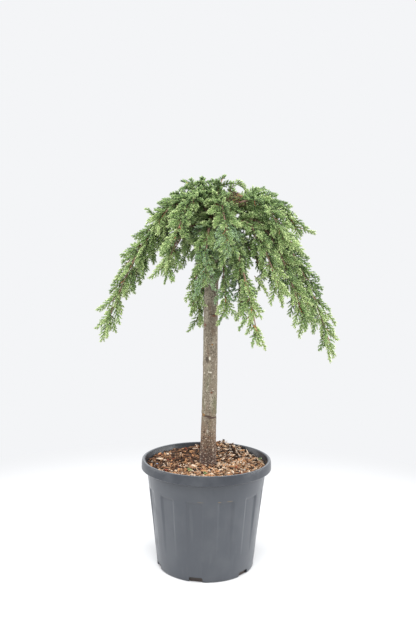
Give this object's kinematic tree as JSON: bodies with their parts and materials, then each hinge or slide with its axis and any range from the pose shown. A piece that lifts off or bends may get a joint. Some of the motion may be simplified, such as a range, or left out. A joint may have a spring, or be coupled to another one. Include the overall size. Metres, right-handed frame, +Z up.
{
  "type": "weeping shore juniper standard in a plastic pot",
  "caption": "Shore juniper grafted high on a straight bare stem, with weeping fronds of short needles, in a fluted round nursery pot.",
  "frame": {"origin": "middle of the pot's flat underside", "axes": "+Z up the trunk, +X to the right and -Y to the front as in the picture"},
  "size_m": [0.6229, 0.4405, 1.015],
  "materials": {
    "slate_plastic": "smooth moulded slate-grey plastic with a soft sheen",
    "bark_chips": "loose brown bark chips with paler and darker bits",
    "trunk_bark": "grey-brown bark, lightly scaled, darker and redder towards the foot",
    "twig_bark": "thin red-brown bark",
    "needles": "short waxy needles, mid green with lime tips and blue-green patches"
  },
  "bodies": {
    "root": {"bark_mulch": "bark_chips", "bough_dome_front": "twig_bark", "bough_dome_front_left": "twig_bark", "bough_dome_left_front": "twig_bark", "bough_dome_left_rear": "twig_bark", "bough_dome_rear_left": "twig_bark", "bough_dome_rear_right": "twig_bark", "bough_dome_right": "twig_bark", "bough_dome_right_front": "twig_bark", "bough_dome_right_rear": "twig_bark", "bough_front": "twig_bark", "bough_front_left": "twig_bark", "bough_front_lime": "twig_bark", "bough_front_right": "twig_bark", "bough_front_right_inner": "twig_bark", "bough_left": "twig_bark", "bough_left_front": "twig_bark", "bough_left_rear": "twig_bark", "bough_rear": "twig_bark", "bough_rear_left": "twig_bark", "bough_rear_left_inner": "twig_bark", "bough_rear_right": "twig_bark", "bough_right": "twig_bark", "bough_right_front": "twig_bark", "bough_right_inner": "twig_bark", "bough_right_middle": "twig_bark", "bough_right_rear": "twig_bark", "foliage_dome_front": "needles", "foliage_dome_front_left": "needles", "foliage_dome_left_front": "needles", "foliage_dome_left_rear": "needles", "foliage_dome_rear_left": "needles", "foliage_dome_rear_right": "needles", "foliage_dome_right": "needles", "foliage_dome_right_front": "needles", "foliage_dome_right_rear": "needles", "foliage_front": "needles", "foliage_front_left": "needles", "foliage_front_lime": "needles", "foliage_front_right": "needles", "foliage_front_right_inner": "needles", "foliage_left": "needles", "foliage_left_front": "needles", "foliage_left_rear": "needles", "foliage_rear": "needles", "foliage_rear_left": "needles", "foliage_rear_left_inner": "needles", "foliage_rear_right": "needles", "foliage_right": "needles", "foliage_right_front": "needles", "foliage_right_inner": "needles", "foliage_right_middle": "needles", "foliage_right_rear": "needles", "foliage_top_front": "needles", "foliage_top_front_left": "needles", "foliage_top_left": "needles", "foliage_top_rear": "needles", "foliage_top_right": "needles", "pot": "slate_plastic", "trunk": "trunk_bark"}
  },
  "joints": []
}
